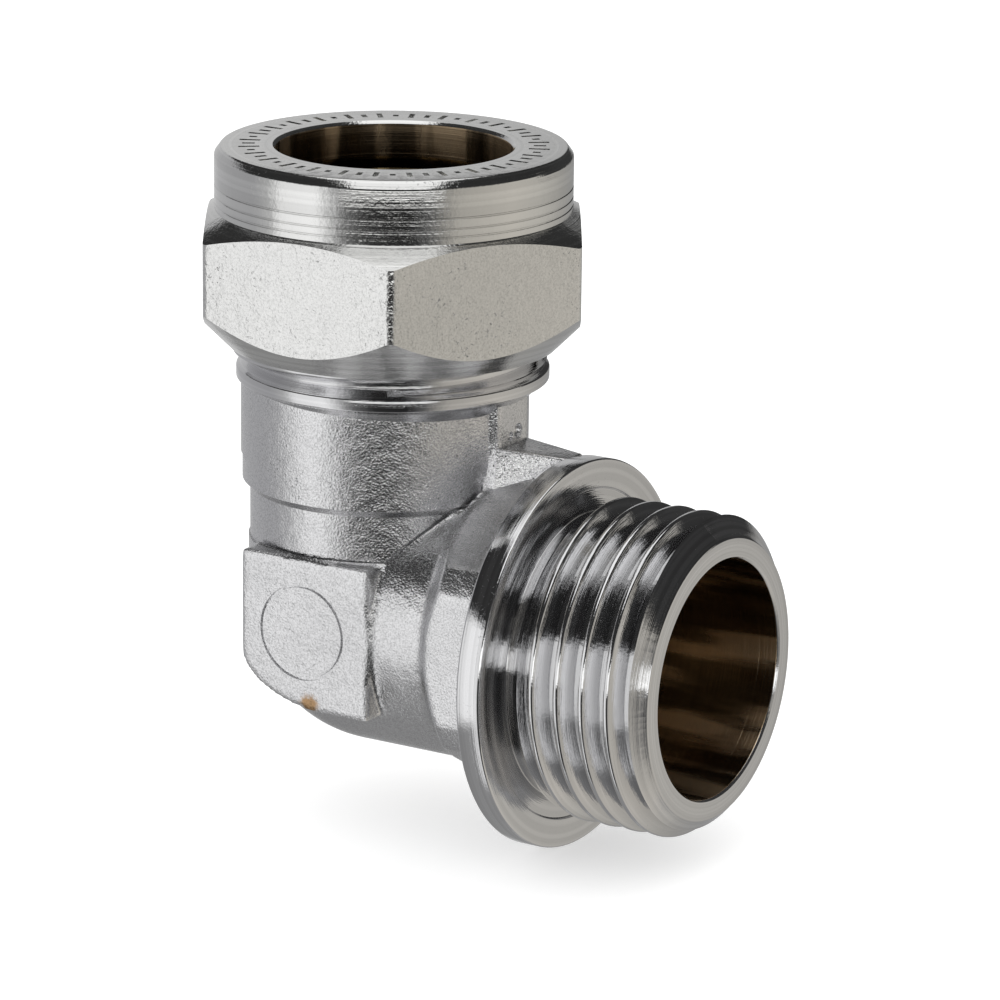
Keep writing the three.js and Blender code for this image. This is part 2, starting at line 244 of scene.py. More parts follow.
class FittingNutSettings(PropertyGroup):
    """Sizes and colours of the compression nut."""

    corner_rounding: FloatProperty(
        name="Corner rounding",
        description="Width of the rounding along the bar's six corners",
        default=0.36 * MM,
        min=0.02 * MM,
        max=0.8 * MM,
        precision=5,
        subtype="DISTANCE",
        unit="LENGTH",
    )
    plating: FloatVectorProperty(
        name="Plating",
        description="Colour of the chrome plating",
        subtype="COLOR",
        default=(0.82, 0.82, 0.81),
        min=0,
        max=1,
    )
    bare_brass: FloatVectorProperty(
        name="Bare brass",
        description="Colour of the unplated brass in the nut's hollow",
        subtype="COLOR",
        default=(0.45, 0.34, 0.22),
        min=0,
        max=1,
    )


class FittingOliveSettings(PropertyGroup):
    """Colour of the olive."""

    brass: FloatVectorProperty(
        name="Brass",
        description="Colour of the olive's brass",
        subtype="COLOR",
        default=(0.78, 0.60, 0.32),
        min=0,
        max=1,
    )


class FittingStageSettings(PropertyGroup):
    """Light and floor around the fitting."""

    floor: FloatVectorProperty(
        name="Floor",
        description="Colour of the floor",
        subtype="COLOR",
        default=(0.72, 0.72, 0.72),
        min=0,
        max=1,
    )
    floor_glow: FloatProperty(
        name="Floor glow",
        description="How much light the floor gives of itself, as a lit table does",
        default=0.5,
        min=0,
        max=2,
    )
    brightness: FloatProperty(
        name="Brightness",
        description="Strength of the surrounding studio light",
        default=1.0,
        min=0,
        max=10,
    )


# ---- Making solids ---------------------------------------------------------------------------


def new_object(name, bm):
    """An object that holds the finished bmesh."""
    mesh = bpy.data.meshes.new(name)
    bm.to_mesh(mesh)
    bm.free()
    piece = bpy.data.objects.new(name, mesh)
    bpy.context.scene.collection.objects.link(piece)
    return piece


def closed(bm):
    """Merges what touches and points every face outwards."""
    bmesh.ops.remove_doubles(bm, verts=bm.verts, dist=1e-4)
    bmesh.ops.recalc_face_normals(bm, faces=bm.faces)
    return bm


def wire(bm, outline, loop):
    """A wire in the X-Z plane through (radius, height) points.

    A third number rounds that corner, and a fourth says in how many steps.
    """
    corners = [bm.verts.new((point[0], 0, point[1])) for point in outline]
    for start, end in zip(corners, corners[1:]):
        bm.edges.new((start, end))
    if loop:
        bm.edges.new((corners[-1], corners[0]))
    for corner, point in zip(corners, outline):
        if len(point) > 2 and point[2] > 0:
            bmesh.ops.bevel(
                bm,
                geom=[corner],
                offset=point[2],
                affect="VERTICES",
                segments=point[3] if len(point) > 3 else ROUNDING_STEPS,
                profile=0.5,
                material=-1,
            )


def turned(outline, face_material=0):
    """A solid turned about Z, from a wire that starts and ends on the axis or closes on itself."""
    bm = bmesh.new()
    wire(bm, outline, loop=outline[0][0] > 0)
    bmesh.ops.spin(
        bm,
        geom=bm.verts[:] + bm.edges[:],
        cent=(0, 0, 0),
        axis=(0, 0, 1),
        dvec=(0, 0, 0),
        angle=2 * math.pi,
        steps=TURNING_STEPS,
        use_merge=True,
        use_duplicate=False,
    )
    for face in bm.faces:
        face.material_index = face_material
    return closed(bm)


def screw_ridge(crest, root, crest_width, start, turns, rounding, face_material):
    """A blunt V swept up a right-hand helix about Z, over +X at its start."""
    inner = root - TUCK
    half_crest = crest_width / 2
    half_root = half_crest + (crest - inner) * FLANK_SLOPE
    outline = (
        (inner, start - half_root),
        (crest, start - half_crest, rounding),
        (crest, start + half_crest, rounding),
        (inner, start + half_root),
    )
    bm = bmesh.new()
    wire(bm, outline, loop=True)
    bmesh.ops.spin(
        bm,
        geom=bm.verts[:] + bm.edges[:],
        cent=(0, 0, 0),
        axis=(0, 0, 1),
        dvec=(0, 0, PITCH / TURNING_STEPS),
        angle=2 * math.pi * turns,
        steps=round(turns * TURNING_STEPS),
        use_merge=False,
        use_duplicate=False,
    )
    ends = [edge for edge in bm.edges if edge.is_boundary]
    bmesh.ops.holes_fill(bm, edges=ends, sides=0)
    for face in bm.faces:
        face.material_index = face_material
    return closed(bm)


def upright_prism(outline, half_thickness):
    """An outline in the X-Z plane, thickened both ways along Y."""
    bm = bmesh.new()
    corners = [bm.verts.new((x, -half_thickness, z)) for x, z in outline]
    face = bm.faces.new(corners)
    grown = bmesh.ops.extrude_face_region(bm, geom=[face])
    moved = [part for part in grown["geom"] if isinstance(part, bmesh.types.BMVert)]
    bmesh.ops.translate(bm, verts=moved, vec=(0, 2 * half_thickness, 0))
    return closed(bm)


def hexagon_bar(across_flats, bottom, top, corner_angle, rounding):
    """A hexagonal bar about Z, its corners rounded a little, one of them at the given angle."""
    first_corner = math.pi / 2
    bm = bmesh.new()
    ring = bmesh.ops.create_circle(
        bm, segments=6, radius=across_flats / 2 / math.cos(math.pi / 6), cap_ends=True
    )
    turn = Matrix.Rotation(corner_angle - first_corner, 4, "Z")
    turn = Matrix.Translation((0, 0, bottom)) @ turn
    bmesh.ops.transform(bm, matrix=turn, verts=ring["verts"])
    bmesh.ops.bevel(
        bm,
        geom=bm.verts[:],
        offset=rounding,
        affect="VERTICES",
        segments=4,
        profile=0.5,
        material=-1,
    )
    grown = bmesh.ops.extrude_face_region(bm, geom=bm.faces[:])
    moved = [part for part in grown["geom"] if isinstance(part, bmesh.types.BMVert)]
    bmesh.ops.translate(bm, verts=moved, vec=(0, 0, top - bottom))
    return closed(bm)


def shifted(bm, x, y, z):
    """Moves what was drawn."""
    bmesh.ops.translate(bm, verts=bm.verts, vec=(x, y, z))
    return bm


def laid_along_x(bm):
    """Turns what was drawn about Z so that it lies about X, keeping a right-hand screw."""
    swap = Matrix(((0, 0, 1, 0), (1, 0, 0, 0), (0, 1, 0, 0), (0, 0, 0, 1)))
    bmesh.ops.transform(bm, matrix=swap, verts=bm.verts)
    return bm


def final_mesh(piece):
    """The piece's mesh with its modifiers worked into it."""
    graph = bpy.context.evaluated_depsgraph_get()
    mesh = bpy.data.meshes.new_from_object(piece.evaluated_get(graph))
    piece.modifiers.clear()
    piece.data = mesh


def combine(piece, bm, operation):
    """Joins the bmesh to the piece, cuts it away or keeps what both share."""
    other = new_object("tool", bm)
    for material in piece.data.materials:
        other.data.materials.append(material)
    modifier = piece.modifiers.new("Shape", "BOOLEAN")
    modifier.solver = "MANIFOLD"
    modifier.operation = operation
    modifier.object = other
    final_mesh(piece)
    bpy.data.objects.remove(other)
    if not piece.data.polygons:
        raise RuntimeError(f"{piece.name} is empty after {operation}")


def worked(bm, tool, operation):
    """A bmesh after another is joined to it, cut away from it or used to trim it."""
    piece = new_object("blank", bm)
    combine(piece, tool, operation)
    result = bmesh.new()
    result.from_mesh(piece.data)
    bpy.data.objects.remove(piece)
    return result


def repaint(piece, old, new, chosen):
    """Moves the faces whose centre is chosen from one of the piece's materials to another."""
    for face in piece.data.polygons:
        if face.material_index == old and chosen(face.center):
            face.material_index = new


def set_in_frame(piece):
    """Puts a piece drawn in millimetres about the axes' crossing in its place, in metres."""
    place = Matrix.Scale(MM, 4) @ Matrix.Translation(AXES_CROSSING)
    piece.data.transform(place)
    piece.data.shade_smooth()
    piece.data.set_sharp_from_angle(angle=SHARP_ANGLE)


# ---- Elbow body ------------------------------------------------------------------------------


def forged_column():
    """The upright arm's forged part: round heel and step, a little off the machined axis."""
    foot_z = FORGING_RISE - COLUMN_LOWER_RADIUS
    heel_steps = 9
    bm = turned(
        (
            (0, foot_z),
            (COLUMN_LOWER_RADIUS, foot_z, COLUMN_LOWER_RADIUS, heel_steps),
            (COLUMN_LOWER_RADIUS, COLUMN_STEP_Z - COLUMN_STEP_HALF_HEIGHT),
            (COLUMN_UPPER_RADIUS, COLUMN_STEP_Z + COLUMN_STEP_HALF_HEIGHT),
            (COLUMN_UPPER_RADIUS, COLLAR_BOTTOM_Z + TUCK),
            (0, COLLAR_BOTTOM_Z + TUCK),
        )
    )
    return shifted(bm, COLUMN_SHIFT_X, 0, 0)


def seam_strips():
    """The strips left standing on both sides of the upper column where its flash was trimmed."""
    low = COLUMN_STEP_Z - 0.1
    high = COLLAR_BOTTOM_Z + TUCK
    bm = bmesh.new()
    bmesh.ops.create_cube(bm, size=1)
    length = 2 * (COLUMN_UPPER_RADIUS + SEAM_STRIP_STAND)
    bmesh.ops.scale(bm, vec=(length, 2 * SEAM_STRIP_HALF_WIDTH, high - low), verts=bm.verts)
    return shifted(bm, COLUMN_SHIFT_X, 0, (high + low) / 2)


def cheeks():
    """The block at the bend whose sides are the two flat cheeks, its outer corner an ellipse."""
    bm = upright_prism(
        (
            (CHEEK_BACK_X, CHEEK_BOTTOM_Z),
            (CHEEK_FRONT_X, CHEEK_BOTTOM_Z),
            (CHEEK_FRONT_X, CHEEK_TOP_Z),
            (CHEEK_BACK_X, CHEEK_TOP_Z),
        ),
        CHEEK_Y,
    )
    stretch = CHEEK_CORNER_LENGTH / CHEEK_CORNER_HEIGHT
    bmesh.ops.scale(bm, vec=(1, 1, stretch), verts=bm.verts)
    corner = [
        edge
        for edge in bm.edges
        if all(
            abs(end.co.x - CHEEK_BACK_X) < 0.01 and end.co.z < 0 for end in edge.verts
        )
    ]
    bmesh.ops.bevel(
        bm,
        geom=corner,
        offset=CHEEK_CORNER_LENGTH,
        affect="EDGES",
        segments=20,
        profile=0.5,
        material=-1,
    )
    bmesh.ops.scale(bm, vec=(1, 1, 1 / stretch), verts=bm.verts)
    return bm


def bend_ball():
    """The round lump where the two arms meet."""
    bm = bmesh.new()
    bmesh.ops.create_uvsphere(bm, u_segments=96, v_segments=48, radius=NECK_RADIUS)
    return shifted(bm, 0, 0, FORGING_RISE)


def arm_rod(radius, end):
    """A round rod along the forged horizontal arm, from the bend outwards."""
    rod = turned(((0, 0), (radius, 0), (radius, end), (0, end)))
    return shifted(laid_along_x(rod), 0, 0, FORGING_RISE)


def spanner_hexagon():
    """The hexagon next to the flange, its corners turned down towards the bend."""
    end = FLANGE_BACK_X + TUCK
    hidden = 0.4  # how much of the hexagon's narrow end stays inside the neck
    start = SPANNER_START_X - hidden
    bar = hexagon_bar(SPANNER_ACROSS_FLATS, SPANNER_START_X - 1, end, math.pi / 2, 0.1)
    rounding = turned(
        (
            (0, start),
            (NECK_RADIUS - hidden, start),
            (SPANNER_ROUNDING_RADIUS, start + SPANNER_ROUNDING_RADIUS - NECK_RADIUS + hidden),
            (SPANNER_ROUNDING_RADIUS, end + 1),
            (0, end + 1),
        )
    )
    hexagon = worked(laid_along_x(bar), laid_along_x(rounding), "INTERSECT")
    return shifted(hexagon, 0, 0, FORGING_RISE)


def web():
    """The crisp web in the inner corner, wide on the column and narrow at the flange."""
    root_x = SEAM_STRIP_X - 1.2
    tip_x = FLANGE_BACK_X + 0.25
    plan = (
        (root_x, -SEAM_STRIP_HALF_WIDTH),
        (SEAM_STRIP_X + 0.02, -SEAM_STRIP_HALF_WIDTH),
        (tip_x, WEB_TIP_NEAR_Y),
        (tip_x, SEAM_STRIP_HALF_WIDTH),
        (root_x, SEAM_STRIP_HALF_WIDTH),
    )
    foot_z = CHEEK_TOP_Z
    height = WEB_TOP_Z - foot_z
    bm = bmesh.new()
    face = bm.faces.new([bm.verts.new((x, y, foot_z)) for x, y in plan])
    grown = bmesh.ops.extrude_face_region(bm, geom=[face])
    moved = [part for part in grown["geom"] if isinstance(part, bmesh.types.BMVert)]
    for vert in bm.verts:
        if vert not in moved:
            vert.co.y += math.copysign(WEB_LEAN * height, vert.co.y - 2 * WEB_TIP_NEAR_Y)
    bmesh.ops.translate(bm, verts=moved, vec=(0, 0, height))
    fall = WEB_FALL / (tip_x - SEAM_STRIP_X)
    for vert in moved:
        vert.co.z -= max(0, vert.co.x - SEAM_STRIP_X) * fall
    closed(bm)
    rim = [edge for edge in bm.edges if all(end.co.z > foot_z + 1 for end in edge.verts)]
    bmesh.ops.bevel(
        bm,
        geom=rim,
        offset=WEB_EDGE_ROUNDING,
        affect="EDGES",
        segments=ROUNDING_STEPS,
        profile=0.5,
        material=-1,
    )
    return bm


def forged_skin(body, settings):
    """Grows one soft skin over the forged parts, as dies leave it."""
    skin = body.modifiers.new("Skin", "REMESH")
    skin.mode = "VOXEL"
    skin.voxel_size = settings.skin_grid / MM
    final_mesh(body)
    bm = bmesh.new()
    bm.from_mesh(body.data)
    for _ in range(settings.skin_softness):
        bmesh.ops.smooth_vert(
            bm,
            verts=bm.verts,
            factor=0.5,
            use_axis_x=True,
            use_axis_y=True,
            use_axis_z=True,
        )
    bm.to_mesh(body.data)
    bm.free()


def neck_crease():
    """The fine crease where the column runs into the neck: a shell round the column's foot."""
    low = CHEEK_TOP_Z - 0.3
    high = COLUMN_STEP_Z + 2
    bend = COLUMN_STEP_HALF_HEIGHT + 0.05
    middle = COLUMN_LOWER_RADIUS + 0.02
    inner = middle - CREASE_HALF_WIDTH
    outer = middle + CREASE_HALF_WIDTH
    widening = COLUMN_UPPER_RADIUS - COLUMN_LOWER_RADIUS
    shell = turned(
        (
            (inner, low),
            (outer, low),
            (outer, COLUMN_STEP_Z - bend),
            (outer + widening, COLUMN_STEP_Z + bend),
            (outer + widening, high),
            (inner + widening, high),
            (inner + widening, COLUMN_STEP_Z + bend),
            (inner, COLUMN_STEP_Z - bend),
        )
    )
    core = arm_rod(NECK_RADIUS - CREASE_DEPTH, FLANGE_BACK_X)
    return worked(shifted(shell, COLUMN_SHIFT_X, 0, 0), core, "DIFFERENCE")


def flash_pockets():
    """Two small pockets left under the strip, above the web."""
    bm = bmesh.new()
    for radius, y, rise in FLASH_POCKETS:
        ball = bmesh.ops.create_uvsphere(bm, u_segments=24, v_segments=16, radius=radius)
        place = (SEAM_STRIP_X + 0.05, y, WEB_TOP_Z + rise)
        bmesh.ops.translate(bm, verts=ball["verts"], vec=place)
    return bm


def cheek_mark(side):
    """The thin round groove that the die's pin leaves on a cheek; side is 1 or -1 along Y."""
    bm = turned(
        (
            (CHEEK_MARK_RADIUS - CHEEK_MARK_HALF_WIDTH, 1),
            (CHEEK_MARK_RADIUS - CHEEK_MARK_HALF_FLOOR, -CHEEK_MARK_DEPTH),
            (CHEEK_MARK_RADIUS + CHEEK_MARK_HALF_FLOOR, -CHEEK_MARK_DEPTH),
            (CHEEK_MARK_RADIUS + CHEEK_MARK_HALF_WIDTH, 1),
        )
    )
    place = Matrix.Translation((CHEEK_MARK_X, side * CHEEK_Y, CHEEK_MARK_Z))
    tip = Matrix.Rotation(-side * math.pi / 2, 4, "X")
    bmesh.ops.transform(bm, matrix=place @ tip, verts=bm.verts)
    return bm


def flange_and_outlet():
    """Flange, undercut and core of the outlet, turned about X."""
    seal_x = FLANGE_FRONT_X - SEAL_FACE_STAND
    return laid_along_x(
        turned(
            (
                (0, FLANGE_BACK_X),
                (FLANGE_RADIUS, FLANGE_BACK_X, FLANGE_EDGE_ROUNDING),
                (FLANGE_RADIUS, FLANGE_FRONT_X, FLANGE_EDGE_ROUNDING),
                (SEAL_FACE_INNER_RADIUS, FLANGE_FRONT_X, 0.04),
                (SEAL_FACE_INNER_RADIUS - SEAL_FACE_STAND, seal_x),
                (OUTLET_ROOT_RADIUS, seal_x, 0.1),
                (OUTLET_ROOT_RADIUS, OUTLET_END_X - OUTLET_END_CHAMFER),
                (OUTLET_END_FACE_RADIUS, OUTLET_END_X, 0.08),
                (0, OUTLET_END_X),
            ),
            TURNED_ACROSS,
        )
    )


def outlet_thread():
    """The outlet's screw ridge, trimmed to the undercut and the lead chamfer."""
    turns_back = math.ceil((OUTLET_CREST_X - OUTLET_UNDERCUT_END_X) / PITCH) + 1
    start = OUTLET_CREST_X - turns_back * PITCH
    ridge = screw_ridge(
        OUTLET_CREST_RADIUS,
        OUTLET_ROOT_RADIUS,
        OUTLET_CREST_WIDTH,
        start,
        math.ceil((OUTLET_END_X - start) / PITCH) + 1,
        OUTLET_CREST_ROUNDING,
        TURNED_ACROSS,
    )
    outer = OUTLET_CREST_RADIUS + 0.2
    low = OUTLET_UNDERCUT_END_X - 0.2
    high = OUTLET_END_X - 0.05
    room = turned(
        (
            (0, low),
            (OUTLET_ROOT_RADIUS, low),
            (outer, OUTLET_UNDERCUT_END_X + 1.1),
            (outer, OUTLET_END_X - OUTLET_LEAD_CHAMFER),
            (OUTLET_END_FACE_RADIUS, high),
            (0, high),
        ),
        TURNED_ACROSS,
    )
    return laid_along_x(worked(ridge, room, "INTERSECT"))


def collar_and_mouth():
    """Collar and core of the compression mouth, turned about Z."""
    collar = [
        (radius, COLLAR_BOTTOM_Z + rise, rounding) for radius, rise, rounding in COLLAR_PROFILE
    ]
    return turned(
        (
            (0, collar[0][1]),
            *collar,
            (MOUTH_ROOT_RADIUS, COLLAR_TOP_Z, 0.1),
            (MOUTH_ROOT_RADIUS, MOUTH_Z, 0.1),
            (0, MOUTH_Z),
        ),
        TURNED_UP,
    )


def mouth_thread():
    """The mouth's screw ridge, trimmed to the mouth's face and its lead chamfer."""
    ridge = screw_ridge(
        MOUTH_CREST_RADIUS,
        MOUTH_ROOT_RADIUS,
        MOUTH_CREST_WIDTH,
        MOUTH_THREAD_START_Z - PITCH,
        MOUTH_THREAD_TURNS + 1,
        MOUTH_CREST_ROUNDING,
        TURNED_UP,
    )
    lead = MOUTH_CREST_RADIUS - MOUTH_ROOT_RADIUS
    outer = MOUTH_CREST_RADIUS + 0.2
    low = COLLAR_BOTTOM_Z + 1
    room = turned(
        (
            (0, low),
            (MOUTH_ROOT_RADIUS, low),
            (outer, COLLAR_BOTTOM_Z + 2.2),
            (outer, MOUTH_Z - lead - 0.2),
            (MOUTH_ROOT_RADIUS, MOUTH_Z),
            (0, MOUTH_Z),
        ),
        TURNED_UP,
    )
    return worked(ridge, room, "INTERSECT")


def tube_socket():
    """The hollow up the compression end, from the bend to the mouth's cone."""
    return turned(
        (
            (0, -DRILL_POINT),
            (WATERWAY_RADIUS, 0),
            (WATERWAY_RADIUS, TUBE_STOP_Z),
            (TUBE_BORE_RADIUS, TUBE_STOP_Z),
            (TUBE_BORE_RADIUS, MOUTH_Z - MOUTH_CONE_DEPTH),
            (MOUTH_RADIUS, MOUTH_Z),
            (MOUTH_RADIUS, MOUTH_Z + 1),
            (0, MOUTH_Z + 1),
        ),
        BORE_UP,
    )


def outlet_hollow():
    """The hollow through the outlet, from the bend to its end face."""
    bore_start = OUTLET_END_X - OUTLET_BORE_DEPTH
    rim = OUTLET_MOUTH_CHAMFER
    return laid_along_x(
        turned(
            (
                (0, -DRILL_POINT),
                (WATERWAY_RADIUS, 0),
                (WATERWAY_RADIUS, bore_start - 1.5, 0.2),
                (OUTLET_BORE_RADIUS, bore_start, 0.2),
                (OUTLET_BORE_RADIUS, OUTLET_END_X - rim, 0.05),
                (OUTLET_BORE_RADIUS + 2 * rim, OUTLET_END_X + rim),
                (0, OUTLET_END_X + rim),
            ),
            BORE_ACROSS,
        )
    )


def build_body(settings):
    """The elbow body, one forging machined at both ends."""
    body = new_object("elbow_body_looks", forged_column())
    for material in (
        forged_plating("Forged plating", settings.plating),
        turned_plating("Turned plating, outlet", settings.plating, "X", BODY_PEEL_HEIGHT),
        turned_plating("Turned plating, collar", settings.plating, "Z", BODY_PEEL_HEIGHT),
        bore_brass("Bare bore, outlet", settings.bare_brass, "X"),
        bore_brass("Bare bore, socket", settings.bare_brass, "Z"),
    ):
        body.data.materials.append(material)
    neck = arm_rod(NECK_RADIUS, FLANGE_BACK_X + TUCK)
    for part in (seam_strips(), cheeks(), bend_ball(), neck, spanner_hexagon()):
        combine(body, part, "UNION")
    forged_skin(body, settings)
    combine(body, neck_crease(), "DIFFERENCE")
    combine(body, web(), "UNION")
    for part in (flash_pockets(), cheek_mark(-1), cheek_mark(1)):
        combine(body, part, "DIFFERENCE")
    for part in (flange_and_outlet(), outlet_thread(), collar_and_mouth(), mouth_thread()):
        combine(body, part, "UNION")
    for part in (tube_socket(), outlet_hollow()):
        combine(body, part, "DIFFERENCE")
    rim_x = OUTLET_END_X - OUTLET_MOUTH_CHAMFER
    repaint(body, BORE_ACROSS, TURNED_ACROSS, lambda centre: centre.x > rim_x)
    set_in_frame(body)
    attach(body, "elbow_body")
    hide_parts("elbow_body")


# ---- Nut -------------------------------------------------------------------------------------


def nut_envelope():
    """The shape that turning leaves on the bar: foot chamfer, shoulders, barrel and rim."""
    clear = NUT_CORNER_RADIUS + 0.3
    floor = NUT_BARREL_RADIUS - NUT_LINE_DEPTH
    outline = [
        (0, NUT_BOTTOM_Z),
        (NUT_FOOT_RADIUS, NUT_BOTTOM_Z),
        (clear, NUT_BOTTOM_Z + clear - NUT_FOOT_RADIUS),
        (clear, NUT_CORNER_TOP_Z - 0.15),
        (NUT_BARREL_RADIUS, NUT_BARREL_BOTTOM_Z),
    ]
    for rise in NUT_LINES:
        line = NUT_BARREL_BOTTOM_Z + rise
        outline += [
            (NUT_BARREL_RADIUS, line - NUT_LINE_HALF_WIDTH),
            (floor, line - NUT_LINE_HALF_WIDTH / 3),
            (floor, line + NUT_LINE_HALF_WIDTH / 3),
            (NUT_BARREL_RADIUS, line + NUT_LINE_HALF_WIDTH),
        ]
    outline += [
        (NUT_BARREL_RADIUS, NUT_TOP_Z - NUT_RIM_CHAMFER_HEIGHT, 0.08),
        (NUT_BARREL_RADIUS - NUT_RIM_CHAMFER_WIDTH, NUT_TOP_Z, 0.08),
        (0, NUT_TOP_Z),
    ]
    return turned(outline, TURNED)


def nut_bore():
    """The nut's hollow: tube hole, seat for the olive and the threaded part's plain core."""
    seat_depth = NUT_THREAD_CREST_RADIUS - TUBE_BORE_RADIUS
    lead = 0.6
    return turned(
        (
            (0, NUT_BOTTOM_Z - 1),
            (NUT_THREAD_CREST_RADIUS + lead + 1, NUT_BOTTOM_Z - 1),
            (NUT_THREAD_CREST_RADIUS, NUT_BOTTOM_Z + lead),
            (NUT_THREAD_CREST_RADIUS, NUT_SEAT_TOP_Z - seat_depth),
            (TUBE_BORE_RADIUS, NUT_SEAT_TOP_Z),
            (TUBE_BORE_RADIUS, NUT_TOP_Z - NUT_MOUTH_CHAMFER, 0.06),
            (TUBE_BORE_RADIUS + NUT_MOUTH_CHAMFER + 1, NUT_TOP_Z + 1),
            (0, NUT_TOP_Z + 1),
        ),
        BORE,
    )


def nut_tap():
    """The screw groove inside the nut."""
    return screw_ridge(
        NUT_THREAD_ROOT_RADIUS,
        NUT_THREAD_CREST_RADIUS,
        NUT_THREAD_ROOT_WIDTH,
        MOUTH_THREAD_START_Z,
        NUT_THREAD_TURNS,
        MOUTH_CREST_ROUNDING,
        BORE,
    )


def rim_dashes():
    """A ring of small dashes stamped in the nut's top face."""
    bm = bmesh.new()
    for index in range(DASH_COUNT):
        length = DASH_LENGTHS[index % len(DASH_LENGTHS)]
        dash = bmesh.ops.create_cube(bm, size=1)["verts"]
        bmesh.ops.scale(bm, vec=(length, DASH_WIDTH, 2 * DASH_DEPTH), verts=dash)
        bmesh.ops.translate(bm, verts=dash, vec=(DASH_RING_RADIUS, 0, NUT_TOP_Z))
        turn = Matrix.Rotation(2 * math.pi * index / DASH_COUNT, 4, "Z")
        bmesh.ops.transform(bm, matrix=turn, verts=dash)
    for face in bm.faces:
        face.material_index = TURNED
    return closed(bm)


def build_nut(settings):
    """The compression nut, turned from hexagonal bar."""
    rounding = settings.corner_rounding / MM
    bar = hexagon_bar(NUT_ACROSS_FLATS, NUT_BOTTOM_Z - 1, NUT_TOP_Z + 1, NUT_TURN, rounding)
    nut = new_object("compression_nut_looks", bar)
    for material in (
        bar_plating("Bar plating", settings.plating),
        turned_plating("Turned plating, nut", settings.plating, "Z", NUT_PEEL_HEIGHT),
        bore_brass("Bare bore, nut", settings.bare_brass, "Z"),
    ):
        nut.data.materials.append(material)
    combine(nut, nut_envelope(), "INTERSECT")
    for part in (nut_bore(), nut_tap(), rim_dashes()):
        combine(nut, part, "DIFFERENCE")
    rim_z = NUT_TOP_Z - NUT_MOUTH_CHAMFER
    repaint(nut, BORE, TURNED, lambda centre: centre.z > rim_z)
    set_in_frame(nut)
    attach(nut, "compression_nut")
    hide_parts("compression_nut")


# ---- Olive -----------------------------------------------------------------------------------


def build_olive(settings):
    """The olive, a turned ring of soft brass with two tapers."""
    ring = turned(
        (
            (TUBE_BORE_RADIUS, OLIVE_BOTTOM_Z, 0.05),
            (OLIVE_END_RADIUS, OLIVE_BOTTOM_Z, 0.08),
            (OLIVE_RADIUS, OLIVE_BOTTOM_Z + OLIVE_TAPER_LENGTH, 0.3),
            (OLIVE_RADIUS, OLIVE_TOP_Z - OLIVE_TAPER_LENGTH, 0.3),
            (OLIVE_END_RADIUS, OLIVE_TOP_Z, 0.08),
            (TUBE_BORE_RADIUS, OLIVE_TOP_Z, 0.05),
        )
    )
    olive = new_object("olive_looks", ring)
    olive.data.materials.append(bore_brass("Olive brass", settings.brass, "Z"))
    set_in_frame(olive)
    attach(olive, "olive")
    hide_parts("olive")


# ---- Materials -------------------------------------------------------------------------------

# Sizes of the finishes' patterns, in metres.
FORGED_GRAIN_SIZE = 0.00014
PEEL_SIZE = 0.00022
TURNING_LINE_WIDTH = 0.00009
BORE_LINE_WIDTH = 0.0001

# Heights of the finishes' relief, in metres.
FORGED_HEIGHT = 3.4e-5
BAR_HEIGHT = 5e-5
BODY_PEEL_HEIGHT = 1e-5
NUT_PEEL_HEIGHT = 2.2e-5
TURNING_LINE_HEIGHT = 1e-5
BORE_LINE_HEIGHT = 1.6e-5

# Noise scales, in waves a metre.
WAVE_SCALE = 900.0
PIT_CLUSTER_SCALE = 220.0
PIT_SCALE = 4200.0
GRAIN_SCALE = 8000.0
MOTTLE_SCALE = 140.0
WORN_EDGE_SCALE = 2500.0
STREAK_SCALE = 420.0

# Least and most roughness of each finish.
FORGED_ROUGHNESS = (0.17, 0.27)
TURNED_ROUGHNESS = (0.05, 0.10)
BAR_ROUGHNESS = (0.10, 0.18)
BORE_ROUGHNESS = (0.18, 0.34)

WORN_COLOUR = (0.45, 0.29, 0.16)


def new_group(name, inputs, outputs):
    """A shader node group with named inputs and outputs, and its two end nodes."""
    group = bpy.data.node_groups.new(name, "ShaderNodeTree")
    for label, kind, value in inputs:
        socket = group.interface.new_socket(label, in_out="INPUT", socket_type=kind)
        if value is not None:
            socket.default_value = value
    for label, kind in outputs:
        group.interface.new_socket(label, in_out="OUTPUT", socket_type=kind)
    return group, group.nodes.new("NodeGroupInput"), group.nodes.new("NodeGroupOutput")


def math_node(tree, operation, first, second=None):
    """A Math node; each argument is a socket or a number."""
    node = tree.nodes.new("ShaderNodeMath")
    node.operation = operation
    for socket, value in zip(node.inputs, (first, second)):
        if value is None:
            continue
        if isinstance(value, bpy.types.NodeSocket):
            tree.links.new(value, socket)
        else:
            socket.default_value = value
    return node.outputs[0]


def noise_node(tree, vector, scale, detail=2.0, roughness=0.5, distortion=0.0):
    """The Factor of a Noise Texture."""
    node = tree.nodes.new("ShaderNodeTexNoise")
    tree.links.new(vector, node.inputs["Vector"])
    node.inputs["Detail"].default_value = detail
    node.inputs["Roughness"].default_value = roughness
    node.inputs["Distortion"].default_value = distortion
    if isinstance(scale, bpy.types.NodeSocket):
        tree.links.new(scale, node.inputs["Scale"])
    else:
        node.inputs["Scale"].default_value = scale
    return node.outputs["Fac"]


def band(tree, value, low, high, out_low=0.0, out_high=1.0):
    """A smooth step of value from low to high."""
    node = tree.nodes.new("ShaderNodeMapRange")
    node.interpolation_type = "SMOOTHSTEP"
    tree.links.new(value, node.inputs["Value"])
    node.inputs["From Min"].default_value = low
    node.inputs["From Max"].default_value = high
    node.inputs["To Min"].default_value = out_low
    node.inputs["To Max"].default_value = out_high
    return node.outputs["Result"]


